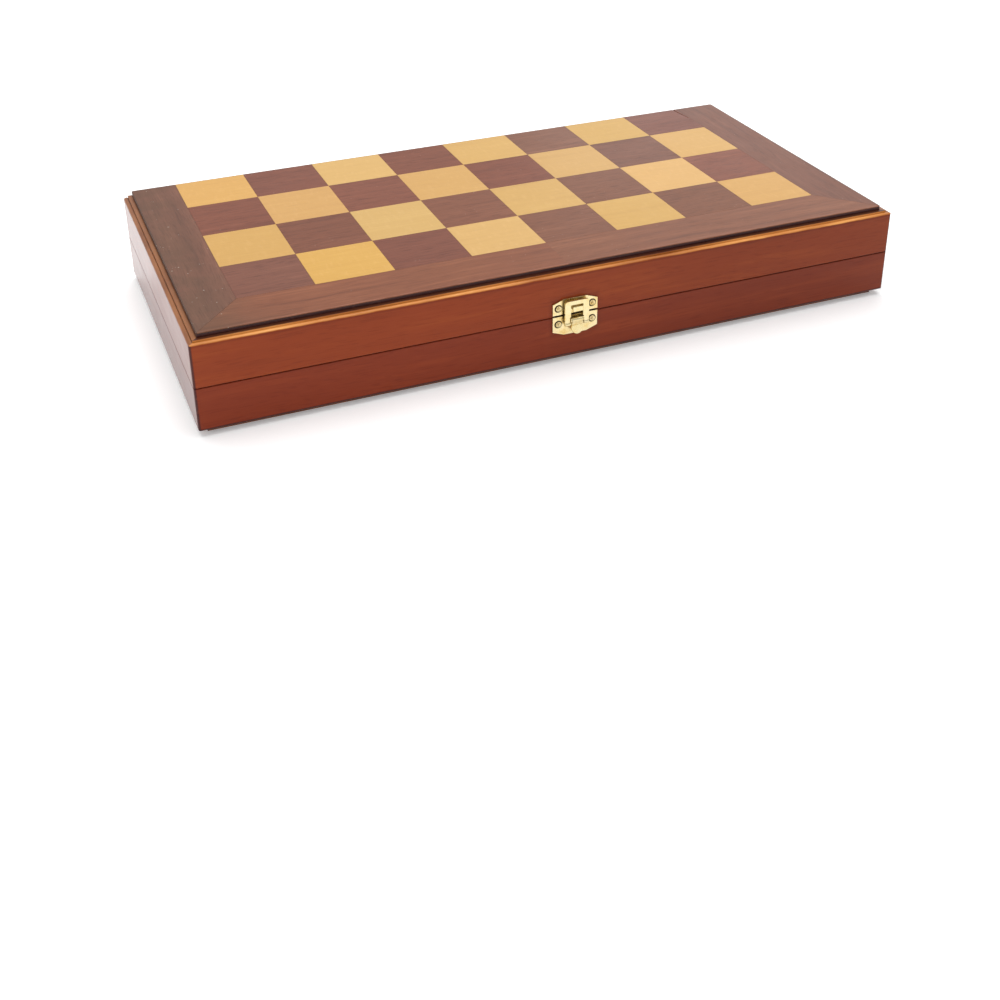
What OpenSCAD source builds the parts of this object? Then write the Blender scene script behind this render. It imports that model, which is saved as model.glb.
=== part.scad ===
// Folding chess box: two shallow trays joined by butt hinges along the rear,
// each carrying half of an eight by eight board on its outer face, and a small
// brass toggle catch at the front. Millimetres, +Z up. X runs along the length,
// the catch faces -Y, and the closed box stands on the lower half of the board
// at z = 0.

/* [Board] */
// Side of a full playing square
square_w = 42; // [38:0.5:46]
// Width of the leftmost column, trimmed a little by its side border
left_col_w = 40.1; // [34:0.1:46]
// Width of the rightmost column
right_col_w = 39.2; // [34:0.1:46]
// Depth of the row beside the hinge
hinge_row_d = 37.5; // [34:0.1:46]
// Depth of the row beside the front border
front_row_d = 38.9; // [34:0.1:46]
// Width of the border at the right; the left one takes up what is left over
side_border = 26.3; // [16:0.1:36]
// Width of the border along the front
front_border = 28.1; // [20:0.1:36]
// Thickness of the veneer
veneer_t = 0.6; // [0.4:0.1:1]
// Joint line between neighbouring pieces of veneer
veneer_joint = 0.05; // [0.02:0.01:0.1]
// Length of the crack in the veneer beside the right border of the lid
crack_len = 18; // [4:1:30]
// Width of that crack at the rear edge
crack_w = 0.8; // [0.2:0.05:1]

/* [Case] */
// Height of one half, from the parting plane to the board surface
half_h = 27; // [25:0.5:34]
// Thickness of the walls
wall = 11; // [10:0.5:14]
// Thickness of the board core
core_t = 4.4; // [3.6:0.2:6]
// Width of the ledge round the board, at the front and the sides
ledge_w = 5; // [4:0.5:7]
// How far the board stands above the outer strip of the ledge
outer_step = 3.4; // [2.8:0.1:3.8]
// How far the board stands above the inner strip of the ledge
inner_step = 2.4; // [1.6:0.1:2.6]
// Radius of the outer edge of the ledge
arris_r = 1; // [0.4:0.1:1.6]
// Radius of the outer edge of the rim at the parting line
rim_r = 0.4; // [0.2:0.1:0.8]
// Radius of the upright edges of the case
corner_r = 1.8; // [0.6:0.1:2.4]
// Radius of the board's corners beside the hinges
board_corner_r = 1.2; // [0.4:0.1:2]
// Gap between the two rims when shut
rim_gap = 0.3; // [0.2:0.05:0.6]
// Thickness of the felt lining
felt_t = 1; // [0.6:0.1:2]

/* [Hinges] */
// Distance of each hinge from the middle of the box
hinge_x = 120; // [70:1:150]
// Length of a hinge
hinge_l = 25; // [22:1:32]
// Reach of a leaf onto the rim
leaf_w = 9; // [8:0.1:9.5]
// Thickness of a leaf
leaf_t = 0.9; // [0.8:0.05:1.1]
// Outer radius of the knuckles
knuckle_r = 2.2; // [2:0.1:2.5]
// Radius of the hinge pins
hinge_pin_r = 1; // [0.8:0.05:1.1]
// Distance of the hinge axis behind the rear faces
hinge_back = 0.17; // [0.16:0.01:0.3]

/* [Catch] */
// Distance of the catch from the middle of the front, to the right
catch_x = 1.7; // [-20:0.1:20]
// Width of the two catch plates
plate_w = 25.4; // [25:0.1:30]
// Distance of the lower plate's far edge from the parting plane
base_plate_h = 10.5; // [10:0.1:12]
// Distance of the upper plate's far edge from the parting plane
hook_plate_h = 10; // [9.8:0.1:12]
// Thickness of the plates
plate_t = 0.8; // [0.8:0.05:0.9]
// Distance of the catch screws from the middle of the catch
catch_screw_x = 9.6; // [9:0.1:10]
// Reach of the hook from the front face
catch_out = 4.4; // [4.4:0.1:5]
// Outer width of the loop
loop_w = 13.6; // [12.6:0.1:13.8]
// Width of the window in the loop
window_w = 6.9; // [6.9:0.1:7.2]
// Radius of the round finger tab
tab_r = 3.2; // [2.8:0.1:3.2]

/* [Hidden] */

$fn = 64;
e = 0.5;                                  // overshoot of cutting shapes

wood_red = [0.56, 0.24, 0.14];
wood_edge = [0.30, 0.14, 0.10];
veneer_light = [0.87, 0.69, 0.41];
veneer_dark = [0.40, 0.25, 0.19];
veneer_border = [0.45, 0.28, 0.20];
felt_green = [0.10, 0.30, 0.19];
brass = [0.90, 0.80, 0.52];

board_z = veneer_t + core_t;              // inner face of the board
rim_z = half_h - rim_gap / 2;             // top of the walls of the lower half
board_l = 2 * (3 * square_w + right_col_w + side_border);
board_d = hinge_row_d + 2 * square_w + front_row_d + front_border;
case_l = board_l + 2 * ledge_w;
case_d = board_d + ledge_w;

// The plan is centred on everything that stands out: hook in front, knuckles behind
y_front = -(case_d + knuckle_r + hinge_back - catch_out) / 2;
y_back = y_front + case_d;
axis_y = y_back + hinge_back;
board_front = y_front + ledge_w;

// Column edges from the left, and row edges from the hinge forward
col_x = concat([-3 * square_w - left_col_w], [for (i = [-3:3]) i * square_w], [3 * square_w + right_col_w]);
row_y = [y_back, y_back - hinge_row_d, y_back - hinge_row_d - square_w,
         y_back - hinge_row_d - 2 * square_w, y_back - hinge_row_d - 2 * square_w - front_row_d];

leaf_off = 0.05;                          // leaf faces stand this far off the parting plane
run_fit = 0.05;                           // radial clearance of a turning fit
snug_fit = 0.02;                          // radial clearance of a fixed fit
knuckle_room = 0.15;                      // room round a knuckle
knuckle_gap = 0.1;                        // side gap between knuckles
mid_knuckle = hinge_l * 0.33;             // length of the middle knuckle

hinge_shank_r = 0.95;
hinge_head_r = 1.8;
hinge_head_h = 0.85;
hinge_screw_len = 8;
leaf_screw_x = hinge_l / 2 - 4.5;
leaf_screw_y = 5;                         // distance of the leaf screws from the rear face

catch_shank_r = 0.8;
catch_head_r = 1.5;
catch_head_h = 0.5;
catch_screw_len = 8;
catch_sink = 0.25;                        // depth of the head below the face of the plate
dish_r = 2.05;                            // radius of the dish round the head, at the face of the plate
base_screw_z = 3.9;                       // distances of the catch screws from the parting plane
hook_screw_z = 5.2;
base_plate_edge = -0.3;                   // near edges of the plates from the parting plane: the lower
hook_plate_edge = 1.4;                    // plate stands a little past it
plate_cut = [6.3, 2.3];                   // cut corners of a plate

// Pivots of the catch: distance out from the front face, height over the parting plane
pivot = [3, -1.6];
pivot_r = 0.6;
loop_pivot = [2.7, -3.8];
loop_pin_r = 0.5;
ear_in = 3.1;                             // inner face of an ear
ear_t = 0.6;
ear_r = 1.2;
lever_half = 2.95;
eye_in = 3.9;                             // inner face of the loop's eyes
eye_r = 1.05;
loop_t = 1;
loop_top = 9.3;
bar_z = 7;                                // lower edge of the loop's crossbar
tab_t = 0.9;
tab_len = 5.8;
tab_tilt = 12;

// ---------- shared shapes ----------

// Turns the lower half's shapes over into the lid
module lid_half() { translate([0, 0, 2 * half_h]) mirror([0, 0, 1]) children(); }

// Corner piece that is cut away to leave a round of radius r
module round_cut(r) { difference() { translate([-e, -e]) square(r + e); translate([r, r]) circle(r); } }

// Rounds the upright edges of the case
module corner_cuts() {
  for (s = [0, 1]) mirror([s, 0, 0]) for (t = [0, 1])
    translate([-case_l / 2, t == 0 ? y_front : y_back, -e]) mirror([0, t, 0]) linear_extrude(half_h + 2 * e) round_cut(corner_r);
}

// Rounds the board's corners beside the hinges
module board_corner_cuts() {
  for (s = [0, 1]) mirror([s, 0, 0])
    translate([-board_l / 2, y_back, -e]) mirror([0, 1, 0]) linear_extrude(board_z + 2 * e) round_cut(board_corner_r);
}

// Wall across its length: u inward from the outer face, v up from the board surface
module wall_outline() {
  difference() {
    polygon([[0, outer_step], [ledge_w / 2, outer_step], [ledge_w / 2, inner_step], [ledge_w, inner_step],
             [ledge_w, board_z], [wall, board_z], [wall, rim_z], [0, rim_z]]);
    translate([0, outer_step]) round_cut(arris_r);
    translate([0, rim_z]) mirror([0, 1]) round_cut(rim_r);
    // fine shadow groove between the two strips of the ledge
    translate([ledge_w / 2 - 0.3, outer_step - e]) square([0.3, e + 0.35]);
  }
}

// Rear wall, under the board that runs out flush with it
module rear_outline() {
  difference() {
    translate([0, board_z]) square([wall, rim_z - board_z]);
    translate([0, rim_z]) mirror([0, 1]) round_cut(rim_r);
  }
}

// Countersunk screw with a cross recess, its head's flat face at z = 0, pointing down
module screw(head_r, head_h, shank_r, len) {
  difference() {
    union() {
      translate([0, 0, -head_h]) cylinder(h = head_h, r1 = shank_r, r2 = head_r);
      translate([0, 0, -len + 1.5]) cylinder(h = len - 1.5 - head_h, r = shank_r);
      translate([0, 0, -len]) cylinder(h = 1.5, r1 = 0.15, r2 = shank_r);
    }
    for (a = [0, 90]) rotate(a + 20) translate([-head_r * 0.6, -0.2, -head_h * 0.6]) cube([head_r * 1.2, 0.4, 1]);
  }
}

// Hole that such a screw passes through in a plate of thickness t, with a dish above a sunk head
module screw_hole(head_r, head_h, shank_r, t, sink) {
  translate([0, 0, sink - t - e]) cylinder(h = t + 2 * e, r = shank_r + snug_fit);
  translate([0, 0, -head_h - snug_fit]) cylinder(h = head_h + snug_fit, r1 = shank_r, r2 = head_r + snug_fit);
  if (sink > 0) cylinder(h = sink, r1 = head_r + snug_fit, r2 = dish_r);
  translate([0, 0, sink]) cylinder(h = e, r = sink > 0 ? dish_r : head_r + snug_fit);
}

module along_x(x0, len, r) { translate([x0, 0, 0]) rotate([0, 90, 0]) cylinder(h = len, r = r); }

// ---------- case, shown for the lower half ----------

module front_wall(screw_z) {
  difference() {
    translate([-case_l / 2, y_front, 0]) rotate([90, 0, 90]) linear_extrude(case_l) wall_outline();
    for (s = [0, 1]) mirror([s, 0, 0]) translate([0, 0, -e]) linear_extrude(half_h + 2 * e)
      polygon([[-case_l / 2 - e, y_front - e], [-case_l / 2 + wall + e, y_front + wall + e], [-case_l / 2 - e, y_front + wall + e]]);
    for (s = [-1, 1]) translate([catch_x + s * catch_screw_x, y_front - plate_t, half_h - screw_z]) rotate([90, 0, 0])
      translate([0, 0, -catch_screw_len - 0.6]) cylinder(h = catch_screw_len + 1, r = catch_shank_r + snug_fit);
    corner_cuts();
  }
}

module rear_wall() {
  difference() {
    translate([-case_l / 2, y_back, 0]) mirror([0, 1, 0]) rotate([90, 0, 90]) linear_extrude(case_l) rear_outline();
    for (s = [0, 1]) mirror([s, 0, 0]) translate([0, 0, -e]) linear_extrude(half_h + 2 * e)
      polygon([[-case_l / 2 - e, y_back + e], [-case_l / 2 + wall + e, y_back - wall - e], [-case_l / 2 - e, y_back - wall - e]]);
    for (s = [-1, 1]) translate([s * hinge_x, 0, 0]) {
      // mortise for the leaf, and a round notch for the knuckles
      translate([-hinge_l / 2 - 0.1, y_back - leaf_w - 0.1, half_h - leaf_off - leaf_t]) cube([hinge_l + 0.2, leaf_w + 0.1 + e, 3]);
      translate([0, axis_y, half_h]) along_x(-hinge_l / 2 - 0.1, hinge_l + 0.2, knuckle_r + knuckle_room);
      for (t = [-1, 1]) translate([t * leaf_screw_x, y_back - leaf_screw_y, half_h - leaf_off - hinge_screw_len - 0.4])
        cylinder(h = hinge_screw_len, r = hinge_shank_r + snug_fit);
    }
    corner_cuts();
  }
}

module side_wall() {
  difference() {
    translate([-case_l / 2, y_back, 0]) rotate([90, 0, 0]) linear_extrude(case_d) wall_outline();
    translate([0, 0, -e]) linear_extrude(half_h + 2 * e)
      polygon([[-case_l / 2 - e, y_front - e], [-case_l / 2 + wall + e, y_front + wall + e], [-case_l / 2 + wall + e, y_front - e]]);
    // the ledge runs on to the rear face, and only the wall behind the board is mitred
    translate([0, 0, board_z]) linear_extrude(half_h)
      polygon([[-case_l / 2 - e, y_back + e], [-case_l / 2 + wall + e, y_back - wall - e], [-case_l / 2 + wall + e, y_back + e]]);
    corner_cuts();
  }
}

module board_core() {
  difference() {
    translate([-board_l / 2, board_front, veneer_t]) cube([board_l, board_d, core_t]);
    board_corner_cuts();
  }
}

// Squares of one colour, each a separate piece of veneer
module squares(parity) {
  j = veneer_joint / 2;
  for (c = [0:7]) for (r = [0:3]) if ((c + r) % 2 == parity)
    translate([col_x[c] + j, row_y[r + 1] + j, 0])
      cube([col_x[c + 1] - col_x[c] - 2 * j, row_y[r] - row_y[r + 1] - (r == 0 ? j : 2 * j), veneer_t]);
}

module front_strip() {
  j = veneer_joint / 2;
  linear_extrude(veneer_t)
    polygon([[-board_l / 2 + 2 * j, board_front], [board_l / 2 - 2 * j, board_front], [col_x[8] - j, row_y[4] - j], [col_x[0] + j, row_y[4] - j]]);
}

// Side border from the board's edge to the edge of the squares at x = inner, for the left
module side_strip(inner) {
  j = veneer_joint / 2;
  difference() {
    linear_extrude(veneer_t)
      polygon([[-board_l / 2, board_front + 2 * j], [-board_l / 2, y_back], [inner - j, y_back], [inner - j, row_y[4] + j]]);
    board_corner_cuts();
  }
}

module lining() {
  translate([-case_l / 2 + wall + 0.1, y_front + wall + 0.1, board_z]) cube([case_l - 2 * wall - 0.2, case_d - 2 * wall - 0.2, felt_t]);
}

// ---------- hinges, shown for the lower half ----------

module leaf(middle) {
  difference() {
    union() {
      translate([-hinge_l / 2, y_back - leaf_w, half_h - leaf_off - leaf_t]) cube([hinge_l, leaf_w + hinge_back, leaf_t]);
      translate([0, axis_y, half_h]) {
        if (middle) along_x(-mid_knuckle / 2, mid_knuckle, knuckle_r);
        else for (s = [0, 1]) mirror([s, 0, 0]) along_x(mid_knuckle / 2 + knuckle_gap, hinge_l / 2 - mid_knuckle / 2 - knuckle_gap, knuckle_r);
      }
    }
    translate([0, axis_y, half_h]) {
      // room for the other leaf's knuckles, and the bore
      if (middle) for (s = [0, 1]) mirror([s, 0, 0]) along_x(mid_knuckle / 2, hinge_l / 2, knuckle_r + knuckle_room);
      else along_x(-mid_knuckle / 2 - knuckle_gap, mid_knuckle + 2 * knuckle_gap, knuckle_r + knuckle_room);
      along_x(-hinge_l / 2 - e, hinge_l + 2 * e, hinge_pin_r + (middle ? run_fit : snug_fit));
    }
    for (t = [-1, 1]) translate([t * leaf_screw_x, y_back - leaf_screw_y, half_h - leaf_off]) screw_hole(hinge_head_r, hinge_head_h, hinge_shank_r, leaf_t, 0);
  }
}

module hinge_pin() { translate([0, axis_y, half_h]) along_x(-hinge_l / 2, hinge_l, hinge_pin_r); }

module leaf_screws() {
  for (s = [-1, 1]) for (t = [-1, 1])
    translate([s * hinge_x + t * leaf_screw_x, y_back - leaf_screw_y, half_h - leaf_off]) screw(hinge_head_r, hinge_head_h, hinge_shank_r, hinge_screw_len);
}

// ---------- catch, drawn round its own middle ----------

module at_catch() { translate([catch_x, 0, 0]) children(); }

// Places a shape drawn flat in X and Z at a distance out from the front face, d thick
module on_front(out, d) { translate([0, y_front - out, half_h]) rotate([90, 0, 0]) linear_extrude(d) children(); }

// Places a shape drawn in out and height so that it runs across X
module across(x0, len) { translate([x0, y_front, half_h]) mirror([0, 1, 0]) rotate([90, 0, 90]) linear_extrude(len) children(); }

// Round bar or bore across X at a pivot
module pivot_bar(p, half, r) { translate([0, y_front - p[0], half_h + p[1]]) along_x(-half, 2 * half, r); }

// Plate hanging down between two distances from the parting plane, with its outer corners cut off
module plate_outline(near, far) {
  polygon([[-plate_w / 2, -near], [-plate_w / 2, -far + plate_cut[1]], [-plate_w / 2 + plate_cut[0], -far],
           [plate_w / 2 - plate_cut[0], -far], [plate_w / 2, -far + plate_cut[1]], [plate_w / 2, -near]]);
}

// Places what is drawn for a screw, its head sunk a little below the face of the plate
module at_catch_screws(screw_z) {
  for (s = [-1, 1]) translate([s * catch_screw_x, y_front - plate_t + catch_sink, half_h - screw_z]) rotate([90, 0, 0]) children();
}

module catch_screws(screw_z) { at_catch_screws(screw_z) screw(catch_head_r, catch_head_h, catch_shank_r, catch_screw_len); }

module catch_screw_holes(screw_z) { at_catch_screws(screw_z) screw_hole(catch_head_r, catch_head_h, catch_shank_r, plate_t, catch_sink); }

// ---------- nodes ----------

module base_front_wall() { color(wood_red) front_wall(base_screw_z); }
module base_rear_wall() { color(wood_red) rear_wall(); }
module base_left_wall() { color(wood_red) side_wall(); }
module base_right_wall() { color(wood_red) mirror([1, 0, 0]) side_wall(); }
module base_panel() { color(wood_edge) board_core(); }
module base_light_squares() { color(veneer_light) squares(1); }
module base_dark_squares() { color(veneer_dark) squares(0); }
module base_front_border() { color(veneer_border) front_strip(); }
module base_left_border() { color(veneer_border) side_strip(col_x[0]); }
module base_right_border() { color(veneer_border) mirror([1, 0, 0]) side_strip(-col_x[8]); }
module base_felt_lining() { color(felt_green) lining(); }

module lid_front_wall() { color(wood_red) lid_half() front_wall(hook_screw_z); }
module lid_rear_wall() { color(wood_red) lid_half() rear_wall(); }
module lid_left_wall() { color(wood_red) lid_half() side_wall(); }
module lid_right_wall() { color(wood_red) lid_half() mirror([1, 0, 0]) side_wall(); }
module lid_panel() { color(wood_edge) lid_half() board_core(); }
module lid_light_squares() { color(veneer_light) lid_half() squares(0); }
module lid_dark_squares() {
  color(veneer_dark) lid_half() difference() {
    squares(1);
    translate([col_x[8], y_back, -e]) linear_extrude(veneer_t + 2 * e)
      polygon([[-2.8, e], [-2.8, 0], [-0.6, -crack_len], [-0.35, -crack_len], [-2.8 + crack_w, 0], [-2.8 + crack_w, e]]);
  }
}
module lid_front_border() { color(veneer_border) lid_half() front_strip(); }
module lid_left_border() { color(veneer_border) lid_half() side_strip(col_x[0]); }
module lid_right_border() { color(veneer_border) lid_half() mirror([1, 0, 0]) side_strip(-col_x[8]); }
module lid_felt_lining() { color(felt_green) lid_half() lining(); }

module hinge_left_base_leaf() { color(brass) translate([-hinge_x, 0, 0]) leaf(false); }
module hinge_left_lid_leaf() { color(brass) translate([-hinge_x, 0, 0]) lid_half() leaf(true); }
module hinge_left_pin() { color(brass) translate([-hinge_x, 0, 0]) hinge_pin(); }
module hinge_right_base_leaf() { color(brass) translate([hinge_x, 0, 0]) leaf(false); }
module hinge_right_lid_leaf() { color(brass) translate([hinge_x, 0, 0]) lid_half() leaf(true); }
module hinge_right_pin() { color(brass) translate([hinge_x, 0, 0]) hinge_pin(); }
module base_hinge_screws() { color(brass) leaf_screws(); }
module lid_hinge_screws() { color(brass) lid_half() leaf_screws(); }

module catch_base_plate() {
  color(brass) at_catch() difference() {
    union() {
      on_front(0, plate_t) plate_outline(base_plate_edge, base_plate_h);
      // ears that hold the lever
      for (s = [0, 1]) mirror([s, 0, 0]) across(ear_in, ear_t) {
        translate(pivot) circle(ear_r);
        translate([plate_t / 2, pivot[1] - ear_r]) square([pivot[0] - plate_t / 2, 2 * ear_r]);
      }
    }
    pivot_bar(pivot, ear_in + ear_t + e, pivot_r + snug_fit);
    catch_screw_holes(base_screw_z);
  }
}

module catch_base_screws() { color(brass) at_catch() catch_screws(base_screw_z); }
module catch_pivot_pin() { color(brass) at_catch() pivot_bar(pivot, ear_in + ear_t, pivot_r); }

module catch_lever() {
  color(brass) at_catch() difference() {
    union() {
      pivot_bar(pivot, lever_half, pivot_r + 0.65);
      pivot_bar(loop_pivot, lever_half, eye_r);
      across(-lever_half, 2 * lever_half)
        polygon([[pivot[0] - 1.2, pivot[1]], [pivot[0] + 1.2, pivot[1]], [loop_pivot[0] + 1, loop_pivot[1]], [loop_pivot[0] - 1, loop_pivot[1]]]);
      translate([0, y_front - loop_pivot[0], half_h + loop_pivot[1]]) rotate([-tab_tilt, 0, 0])
        rotate([90, 0, 0]) linear_extrude(tab_t, center = true) {
          translate([-2.4, -tab_len + tab_r]) square([4.8, tab_len - tab_r]);
          translate([0, -tab_len + tab_r]) circle(tab_r);
        }
    }
    pivot_bar(pivot, lever_half + e, pivot_r + run_fit);
    pivot_bar(loop_pivot, lever_half + e, loop_pin_r + snug_fit);
  }
}

module catch_loop_pin() { color(brass) at_catch() pivot_bar(loop_pivot, loop_w / 2, loop_pin_r); }

module catch_loop() {
  color(brass) at_catch() difference() {
    union() {
      on_front(loop_pivot[0] - loop_t / 2, loop_t) difference() {
        translate([-loop_w / 2, loop_pivot[1]]) square([loop_w, loop_top - loop_pivot[1]]);
        // window over the hook, and room for the ears below it
        translate([-window_w / 2, 0]) square([window_w, bar_z]);
        translate([-eye_in, loop_pivot[1] - e]) square([2 * eye_in, 0.1 - loop_pivot[1] + e]);
        for (s = [0, 1]) mirror([s, 0]) translate([-loop_w / 2, loop_top]) mirror([0, 1]) round_cut(1.4);
      }
      for (s = [0, 1]) mirror([s, 0, 0]) translate([0, y_front - loop_pivot[0], half_h + loop_pivot[1]]) along_x(eye_in, loop_w / 2 - eye_in, eye_r);
    }
    pivot_bar(loop_pivot, loop_w / 2 + e, loop_pin_r + run_fit);
  }
}

module catch_hook_plate() {
  color(brass) at_catch() difference() {
    union() {
      lid_half() on_front(0, plate_t) plate_outline(hook_plate_edge, hook_plate_h);
      // hook: a shelf out from the plate with an upright lip
      across(-2.75, 5.5)
        polygon([[plate_t / 2, 4.6], [catch_out - 0.9, 4.6], [catch_out - 0.9, 3.7], [catch_out - 0.7, 3.5], [catch_out - 0.2, 3.5], [catch_out, 3.7],
                 [catch_out, 6.1], [catch_out - 0.2, 6.3], [catch_out - 0.5, 6.3], [catch_out - 0.8, 5.8], [plate_t / 2, 5.8]]);
    }
    lid_half() catch_screw_holes(hook_screw_z);
  }
}

module catch_hook_screws() { color(brass) at_catch() lid_half() catch_screws(hook_screw_z); }

base_front_wall();
base_rear_wall();
base_left_wall();
base_right_wall();
base_panel();
base_light_squares();
base_dark_squares();
base_front_border();
base_left_border();
base_right_border();
base_felt_lining();
lid_front_wall();
lid_rear_wall();
lid_left_wall();
lid_right_wall();
lid_panel();
lid_light_squares();
lid_dark_squares();
lid_front_border();
lid_left_border();
lid_right_border();
lid_felt_lining();
hinge_left_base_leaf();
hinge_left_lid_leaf();
hinge_left_pin();
hinge_right_base_leaf();
hinge_right_lid_leaf();
hinge_right_pin();
base_hinge_screws();
lid_hinge_screws();
catch_base_plate();
catch_base_screws();
catch_pivot_pin();
catch_lever();
catch_loop_pin();
catch_loop();
catch_hook_plate();
catch_hook_screws();
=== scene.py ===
import math

import bmesh
import bpy
from mathutils import Matrix, Vector, noise


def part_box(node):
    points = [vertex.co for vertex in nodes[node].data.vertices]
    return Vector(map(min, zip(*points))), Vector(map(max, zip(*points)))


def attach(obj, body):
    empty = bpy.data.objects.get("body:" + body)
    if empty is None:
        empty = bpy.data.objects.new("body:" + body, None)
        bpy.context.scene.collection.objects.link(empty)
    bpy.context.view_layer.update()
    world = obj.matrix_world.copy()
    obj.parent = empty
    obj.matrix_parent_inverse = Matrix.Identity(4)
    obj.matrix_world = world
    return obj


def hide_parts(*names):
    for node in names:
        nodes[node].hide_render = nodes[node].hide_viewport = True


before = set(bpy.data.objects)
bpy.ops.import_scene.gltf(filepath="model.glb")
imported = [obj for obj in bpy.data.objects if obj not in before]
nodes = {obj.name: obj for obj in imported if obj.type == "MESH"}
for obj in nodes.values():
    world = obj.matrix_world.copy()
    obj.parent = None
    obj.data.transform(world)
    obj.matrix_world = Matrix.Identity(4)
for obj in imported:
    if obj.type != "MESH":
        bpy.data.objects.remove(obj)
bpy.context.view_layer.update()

scene = bpy.context.scene

HALF = 0.027          # height of one half, from the board face to the parting plane
SQUARE = 0.042
COL0, ROW0 = 0.168, 0.065735   # first column and row edges of the regular grid of squares


# ------------------------------------------------------------------ node helpers

class Mat:
    """A material and the few node chains that its finish is made of."""

    def __init__(self, name):
        self.m = bpy.data.materials.new(name)
        self.m.use_nodes = True
        self.nt = self.m.node_tree
        self.nt.nodes.clear()
        out = self.add("ShaderNodeOutputMaterial")
        self.bsdf = self.add("ShaderNodeBsdfPrincipled")
        self.link(self.bsdf.outputs[0], out.inputs[0])
        self.co = self.add("ShaderNodeTexCoord").outputs["Object"]
        xyz = self.add("ShaderNodeSeparateXYZ")
        self.link(self.co, xyz.inputs[0])
        self.x, self.y, self.z = xyz.outputs[0], xyz.outputs[1], xyz.outputs[2]

    def add(self, kind):
        return self.nt.nodes.new(kind)

    def link(self, a, b):
        self.nt.links.new(a, b)

    def put(self, socket, value):
        if isinstance(value, bpy.types.NodeSocket):
            self.link(value, socket)
        else:
            socket.default_value = value

    def set(self, **values):
        for name, value in values.items():
            self.put(self.bsdf.inputs[name.replace("_", " ").replace("IORlevel", "IOR Level")], value)

    def math(self, op, a, b=None, c=None, clamp=False):
        n = self.add("ShaderNodeMath")
        n.operation, n.use_clamp = op, clamp
        for i, v in enumerate((a, b, c)):
            if v is not None:
                self.put(n.inputs[i], v)
        return n.outputs[0]

    def vec(self, op, a, b=None, c=None):
        n = self.add("ShaderNodeVectorMath")
        n.operation = op
        for i, v in enumerate((a, b, c)):
            if v is not None:
                self.put(n.inputs[i], v)
        return n.outputs[0]

    def combine(self, x, y, z):
        n = self.add("ShaderNodeCombineXYZ")
        for i, v in enumerate((x, y, z)):
            self.put(n.inputs[i], v)
        return n.outputs[0]

    def noise(self, v, detail=2.0, rough=0.5, distort=0.0):
        n = self.add("ShaderNodeTexNoise")
        n.noise_dimensions = "3D"
        self.put(n.inputs["Vector"], v)
        n.inputs["Scale"].default_value = 1.0
        n.inputs["Detail"].default_value = detail
        n.inputs["Roughness"].default_value = rough
        n.inputs["Distortion"].default_value = distort
        return n.outputs[0]

    def voronoi(self, v, feature="F1"):
        n = self.add("ShaderNodeTexVoronoi")
        n.feature = feature
        self.put(n.inputs["Vector"], v)
        n.inputs["Scale"].default_value = 1.0
        return n

    def white(self, v):
        n = self.add("ShaderNodeTexWhiteNoise")
        n.noise_dimensions = "3D"
        self.put(n.inputs["Vector"], v)
        return n

    def ramp(self, fac, stops, mode="LINEAR"):
        n = self.add("ShaderNodeValToRGB")
        n.color_ramp.interpolation = mode
        e = n.color_ramp.elements
        while len(e) > 1:
            e.remove(e[-1])
        for i, (pos, c) in enumerate(stops):
            el = e[0] if i == 0 else e.new(pos)
            el.position = pos
            el.color = (c, c, c, 1) if isinstance(c, (int, float)) else (*c, 1)
        self.link(fac, n.inputs[0])
        return n.outputs[0]

    def span(self, v, a, b, c=0.0, d=1.0, smooth=True):
        n = self.add("ShaderNodeMapRange")
        n.interpolation_type = "SMOOTHSTEP" if smooth else "LINEAR"
        n.clamp = True
        self.put(n.inputs["Value"], v)
        for name, x in zip(("From Min", "From Max", "To Min", "To Max"), (a, b, c, d)):
            self.put(n.inputs[name], x)
        return n.outputs[0]

    def mix(self, fac, a, b, blend="MIX"):
        n = self.add("ShaderNodeMix")
        n.data_type, n.blend_type = "RGBA", blend
        n.clamp_result = False
        self.put(n.inputs[0], fac)
        for s, v in ((n.inputs[6], a), (n.inputs[7], b)):
            self.put(s, v if isinstance(v, bpy.types.NodeSocket) else ((v, v, v, 1) if isinstance(v, (int, float)) else (*v, 1)))
        return n.outputs[2]

    def hsv(self, colour, hue=0.5, sat=1.0, val=1.0):
        n = self.add("ShaderNodeHueSaturation")
        self.put(n.inputs["Hue"], hue)
        self.put(n.inputs["Saturation"], sat)
        self.put(n.inputs["Value"], val)
        self.put(n.inputs["Color"], colour)
        return n.outputs[0]

    def bump(self, height, strength, distance, normal=None):
        n = self.add("ShaderNodeBump")
        n.inputs["Strength"].default_value = strength
        n.inputs["Distance"].default_value = distance
        self.put(n.inputs["Height"], height)
        if normal is not None:
            self.link(normal, n.inputs["Normal"])
        return n.outputs[0]


def grain_scale(axis, along, across):
    """Scale that stretches a pattern along the grain."""
    return tuple(along if i == "xyz".index(axis) else across for i in range(3))


# ------------------------------------------------------------------ wood

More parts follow.
